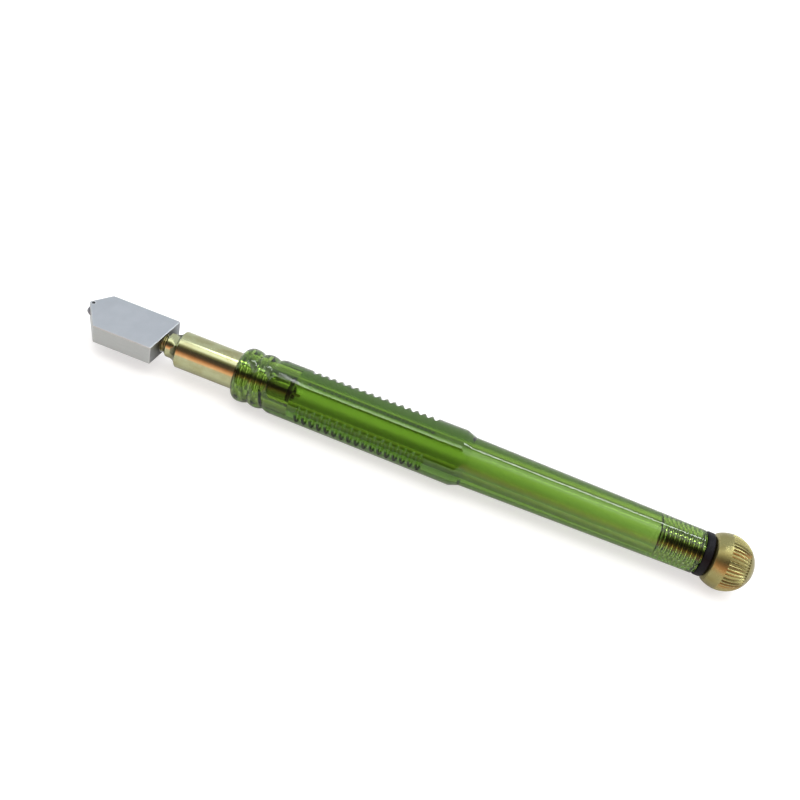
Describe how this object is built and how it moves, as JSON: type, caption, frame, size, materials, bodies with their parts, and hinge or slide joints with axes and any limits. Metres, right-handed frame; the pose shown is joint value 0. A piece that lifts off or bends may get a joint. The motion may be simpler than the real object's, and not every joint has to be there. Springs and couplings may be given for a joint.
{
  "type": "glass cutter",
  "caption": "Pencil-grip glass cutter: a wheel in a flat swivelling head on a sprung stem, brass sleeve, clear green oil-reservoir handle and a screw-in brass ball filler cap.",
  "frame": {"origin": "the lowest point of the cutting wheel's rim, where it touches the glass", "axes": "+X from the wheel along the tool towards the ball cap, parallel to the pen axis; +Z square to the broad guide face of the head; +Y across the head"},
  "size_m": [0.1481, 0.012, 0.0119],
  "materials": {
    "head_metal": "satin plated",
    "carbide": "ground",
    "dark_steel": "ground",
    "spring_steel": "bright wire",
    "brass": "turned",
    "black_rubber": "matte",
    "felt": "felted",
    "green_plastic": "clear tinted"
  },
  "bodies": {
    "handle": {"handle_barrel": "green_plastic", "front_sleeve": "brass", "sleeve_gasket": "black_rubber", "spring_retainer": "brass", "return_spring": "spring_steel"},
    "spring_washer": {"thrust_washer": "spring_steel"},
    "head": {"cutter_head": "head_metal", "wheel_axle": "dark_steel", "plunger": "brass", "stem_seal": "black_rubber", "oil_wick": "felt"},
    "wheel": {"cutting_wheel": "carbide"},
    "cap_ring": {"cap_seal": "black_rubber"},
    "cap": {"filler_cap": "brass"}
  },
  "joints": [
    {"name": "head_press", "type": "slide", "parent": "handle", "child": "spring_washer", "axis": [1, 0, 0], "range_m": [0, 0.0004], "stiffness_N_per_m": 400, "springref_m": -0.002, "deforming": ["return_spring"]},
    {"name": "head_swivel", "type": "hinge", "parent": "spring_washer", "child": "head", "pos_m": [0.01815, -0.0011, 0], "axis": [1, 0, 0], "range_deg": [-10, 10]},
    {"name": "wheel_spin", "type": "hinge", "parent": "head", "child": "wheel", "pos_m": [0.0013, 0, 0], "axis": [0, 0, 1], "continuous": true},
    {"name": "cap_travel", "type": "slide", "parent": "handle", "child": "cap_ring", "axis": [1, 0, 0], "range_m": [0, 0.009]},
    {"name": "cap_turn", "type": "hinge", "parent": "cap_ring", "child": "cap", "pos_m": [0.1385, -0.0011, 0], "axis": [1, 0, 0], "range_deg": [0, 3240]}
  ],
  "couplings": [
    {"joint": "cap_travel", "follows": "cap_turn", "m_per_rad": 0.00015915}
  ]
}
